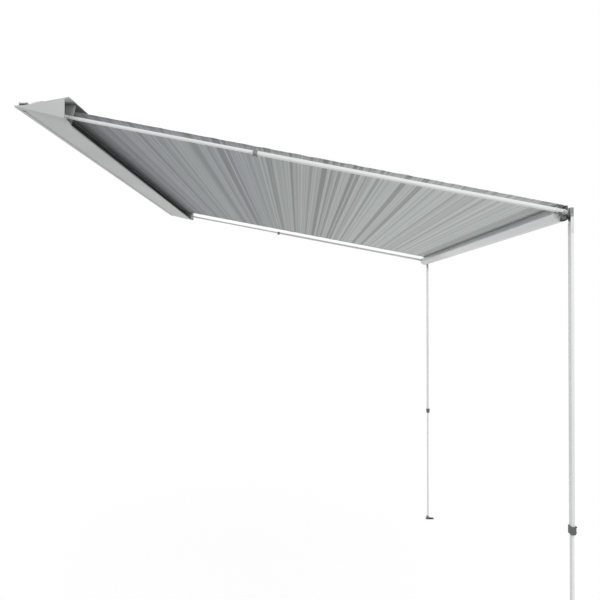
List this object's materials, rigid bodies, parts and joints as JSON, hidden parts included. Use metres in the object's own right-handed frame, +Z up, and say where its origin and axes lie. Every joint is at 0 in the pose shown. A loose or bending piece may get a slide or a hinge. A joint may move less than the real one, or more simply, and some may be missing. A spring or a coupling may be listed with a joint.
{
  "type": "caravan roll-out awning",
  "caption": "Roll-out caravan awning with a slim wall case, striped cloth on telescopic rafters and a roller bar standing on folding telescopic legs.",
  "frame": {"origin": "centre of the wall rail's flat back face, which lies on the caravan wall", "axes": "+X out from the wall, +Y along the wall, +Z up"},
  "size_m": [2.0358, 2.6, 2.3822],
  "materials": {
    "grey_coat": "satin light grey powder coat",
    "white_coat": "satin white coat",
    "mill_aluminium": "plain extruded aluminium",
    "steel": "dark zinc plated steel",
    "dark_plastic": "moulded dark grey plastic",
    "white_plastic": "moulded off-white plastic",
    "grey_plastic": "moulded mid grey plastic",
    "grey_rubber": "matt light grey rubber",
    "black_rubber": "matt black rubber",
    "awning_cloth": "woven grey striped awning cloth"
  },
  "bodies": {
    "case": {"wall_rail": "mill_aluminium", "wall_seal": "grey_rubber", "case_shell": "grey_coat", "cloth_rail": "mill_aluminium", "cloth_bead": "black_rubber", "case_end_left": "grey_coat", "case_end_right": "grey_coat", "rafter_bracket_left": "grey_plastic", "rafter_bracket_right": "grey_plastic", "rafter_pin_left": "steel", "rafter_pin_right": "steel"},
    "rafters": {"canopy": "awning_cloth", "rafter_eye_left": "white_plastic", "rafter_eye_right": "white_plastic", "rafter_inner_left": "white_coat", "rafter_inner_right": "white_coat", "rafter_slide_plug_left": "white_plastic", "rafter_slide_plug_right": "white_plastic"},
    "lead_bar": {"rafter_outer_left": "white_coat", "rafter_outer_right": "white_coat", "rafter_collar_left": "dark_plastic", "rafter_collar_right": "dark_plastic", "rafter_tip_left": "white_plastic", "rafter_tip_right": "white_plastic", "axle_left": "steel", "axle_right": "steel", "end_bracket_left": "dark_plastic", "end_bracket_right": "dark_plastic", "leg_swing_pin_left": "steel", "leg_swing_pin_right": "steel"},
    "roller": {"roller_tube": "white_coat", "canopy_wrap": "awning_cloth", "front_bead": "black_rubber", "roller_plug_left": "white_plastic", "roller_plug_right": "white_plastic"},
    "rafter_lever_left": {"rafter_lever_left": "dark_plastic"},
    "rafter_lever_right": {"rafter_lever_right": "dark_plastic"},
    "knuckle_left": {"leg_knuckle_left": "mill_aluminium", "leg_fold_pin_left": "steel"},
    "leg_left": {"leg_top_left": "white_plastic", "leg_outer_left": "white_coat", "leg_collar_left": "dark_plastic"},
    "leg_lever_left": {"leg_lever_left": "dark_plastic"},
    "leg_inner_left": {"leg_inner_left": "white_coat", "leg_slide_plug_left": "white_plastic", "foot_pin_left": "steel"},
    "foot_left": {"foot_left": "dark_plastic"},
    "knuckle_right": {"leg_knuckle_right": "mill_aluminium", "leg_fold_pin_right": "steel"},
    "leg_right": {"leg_top_right": "white_plastic", "leg_outer_right": "white_coat", "leg_collar_right": "dark_plastic"},
    "leg_lever_right": {"leg_lever_right": "dark_plastic"},
    "leg_inner_right": {"leg_inner_right": "white_coat", "leg_slide_plug_right": "white_plastic", "foot_pin_right": "steel"},
    "foot_right": {"foot_right": "dark_plastic"}
  },
  "joints": [
    {"name": "awning_pitch", "type": "hinge", "parent": "case", "child": "rafters", "pos_m": [0.15, 0, -0.027], "axis": [0, -1, 0], "range_deg": [0, 8], "deforming": ["canopy"]},
    {"name": "bar_travel", "type": "slide", "parent": "rafters", "child": "lead_bar", "axis": [0.9823, 0, -0.1871], "range_m": [-0.65, 0]},
    {"name": "roller_spin", "type": "hinge", "parent": "lead_bar", "child": "roller", "pos_m": [1.96732, 0, -0.37321], "axis": [0, -1, 0], "range_deg": [-1215, 1]},
    {"name": "rafter_lever_left_turn", "type": "hinge", "parent": "lead_bar", "child": "rafter_lever_left", "pos_m": [0.84693, -1.2314, -0.1669], "axis": [0, -1, 0], "range_deg": [0, 100]},
    {"name": "rafter_lever_right_turn", "type": "hinge", "parent": "lead_bar", "child": "rafter_lever_right", "pos_m": [0.84693, 1.2314, -0.1669], "axis": [0, -1, 0], "range_deg": [0, 100]},
    {"name": "leg_swing_left", "type": "hinge", "parent": "lead_bar", "child": "knuckle_left", "pos_m": [1.98932, -1.2314, -0.38271], "axis": [0, -1, 0], "range_deg": [-30, 10]},
    {"name": "leg_fold_left", "type": "hinge", "parent": "knuckle_left", "child": "leg_left", "pos_m": [1.99182, -1.2314, -0.41671], "axis": [1, 0, 0], "range_deg": [0, 90]},
    {"name": "leg_slide_left", "type": "slide", "parent": "leg_left", "child": "leg_inner_left", "axis": [0, 0, 1], "range_m": [-0.08, 0.75]},
    {"name": "leg_lever_left_turn", "type": "hinge", "parent": "leg_left", "child": "leg_lever_left", "pos_m": [2.00382, -1.2314, -1.51141], "axis": [0, -1, 0], "range_deg": [0, 100]},
    {"name": "foot_pivot_left", "type": "hinge", "parent": "leg_inner_left", "child": "foot_left", "pos_m": [1.99182, -1.2314, -2.33521], "axis": [0, 1, 0], "range_deg": [-20, 20]},
    {"name": "leg_swing_right", "type": "hinge", "parent": "lead_bar", "child": "knuckle_right", "pos_m": [1.98932, 1.2314, -0.38271], "axis": [0, 1, 0], "range_deg": [-10, 30]},
    {"name": "leg_fold_right", "type": "hinge", "parent": "knuckle_right", "child": "leg_right", "pos_m": [1.99182, 1.2314, -0.41671], "axis": [1, 0, 0], "range_deg": [-90, 0]},
    {"name": "leg_slide_right", "type": "slide", "parent": "leg_right", "child": "leg_inner_right", "axis": [0, 0, 1], "range_m": [-0.08, 0.75]},
    {"name": "leg_lever_right_turn", "type": "hinge", "parent": "leg_right", "child": "leg_lever_right", "pos_m": [2.00382, 1.2314, -1.51141], "axis": [0, -1, 0], "range_deg": [0, 100]},
    {"name": "foot_pivot_right", "type": "hinge", "parent": "leg_inner_right", "child": "foot_right", "pos_m": [1.99182, 1.2314, -2.33521], "axis": [0, 1, 0], "range_deg": [-20, 20]}
  ],
  "couplings": [
    {"joint": "roller_spin", "follows": "bar_travel", "rad_per_m": 32.468}
  ]
}
